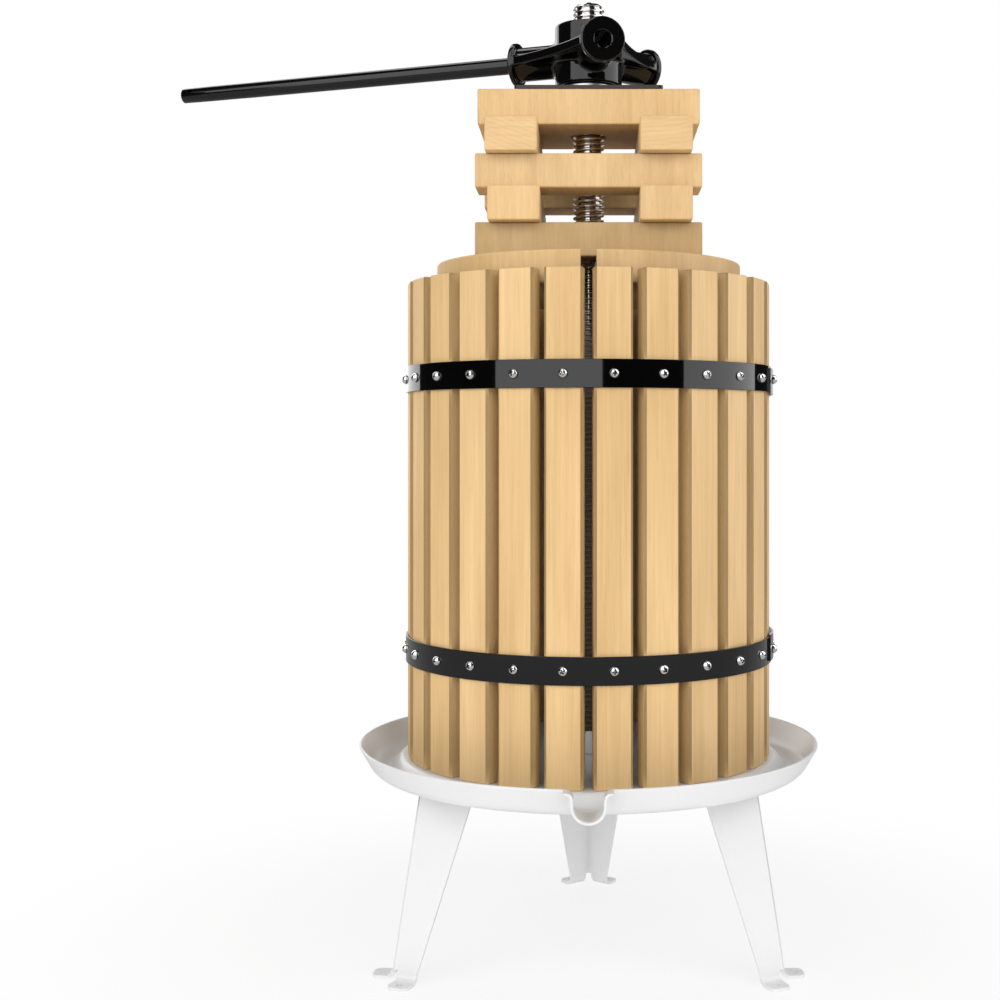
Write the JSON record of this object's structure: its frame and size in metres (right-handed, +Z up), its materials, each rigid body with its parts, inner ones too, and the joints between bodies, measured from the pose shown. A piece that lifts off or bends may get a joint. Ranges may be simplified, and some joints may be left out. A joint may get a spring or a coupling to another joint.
{
  "type": "wine press",
  "caption": "Hand-cranked screw press: slatted wooden basket on a spouted enamel tray with folded legs, stacked press blocks, a socketed hub nut and a handle bar.",
  "frame": {"origin": "on the ground under the spindle, at the centre of the circle through the foot holes", "axes": "+Z up along the spindle, -Y towards the spout and the picture's camera, +X to the right in the picture"},
  "size_m": [0.53, 0.3661, 0.7346],
  "materials": {
    "stave_wood": "sanded pale wood with fine straight grain",
    "block_wood": "sanded pale wood with fine straight grain and eased edges",
    "black_strap": "gloss black paint on steel strap",
    "hub_enamel": "gloss black paint on cast iron",
    "bar_black": "semi-gloss black paint on round steel bar",
    "spindle_steel": "dark oiled steel with bright thread crests",
    "bright_steel": "bright plated steel",
    "white_enamel": "white enamel on pressed steel sheet"
  },
  "bodies": {
    "stand": {"tray": "white_enamel", "leg_front_left": "white_enamel", "leg_front_right": "white_enamel", "leg_rear": "white_enamel", "leg_bolts": "bright_steel", "leg_nuts": "bright_steel", "spindle": "spindle_steel", "spindle_base_nut": "bright_steel", "spindle_lock_nut": "bright_steel", "spindle_washer": "bright_steel"},
    "basket": {"hoop_upper": "black_strap", "hoop_lower": "black_strap", "hoop_screws_upper": "bright_steel", "hoop_screws_lower": "bright_steel", "stave_01": "stave_wood", "stave_02": "stave_wood", "stave_03": "stave_wood", "stave_04": "stave_wood", "stave_05": "stave_wood", "stave_06": "stave_wood", "stave_07": "stave_wood", "stave_08": "stave_wood", "stave_09": "stave_wood", "stave_10": "stave_wood", "stave_11": "stave_wood", "stave_12": "stave_wood", "stave_13": "stave_wood", "stave_14": "stave_wood", "stave_15": "stave_wood", "stave_16": "stave_wood", "stave_17": "stave_wood", "stave_18": "stave_wood", "stave_19": "stave_wood", "stave_20": "stave_wood", "stave_21": "stave_wood", "stave_22": "stave_wood", "stave_23": "stave_wood", "stave_24": "stave_wood", "stave_25": "stave_wood"},
    "press_stack": {"press_plate_left": "block_wood", "press_plate_right": "block_wood", "block_low_front": "block_wood", "block_low_back": "block_wood", "block_cross_low_left": "block_wood", "block_cross_low_right": "block_wood", "block_mid_front": "block_wood", "block_mid_back": "block_wood", "block_cross_high_left": "block_wood", "block_cross_high_right": "block_wood", "top_block": "block_wood", "pressure_plate": "black_strap", "thrust_ring": "bright_steel"},
    "hub": {"hub": "hub_enamel"},
    "handle": {"handle_bar": "bar_black"}
  },
  "joints": [
    {"name": "basket_lift", "type": "slide", "parent": "stand", "child": "basket", "axis": [0, 0, 1], "range_m": [0, 0.035]},
    {"name": "press_travel", "type": "slide", "parent": "stand", "child": "press_stack", "axis": [0, 0, 1], "range_m": [-0.132, 0]},
    {"name": "hub_spin", "type": "hinge", "parent": "press_stack", "child": "hub", "pos_m": [0, 0, 0.69282], "axis": [0, 0, 1], "range_deg": [-11880, 0]},
    {"name": "handle_slide", "type": "slide", "parent": "hub", "child": "handle", "axis": [-0.9385, 0.3453, 0], "range_m": [0, 0.034]}
  ],
  "couplings": [
    {"joint": "press_travel", "follows": "hub_spin", "m_per_rad": 0.00063662}
  ]
}
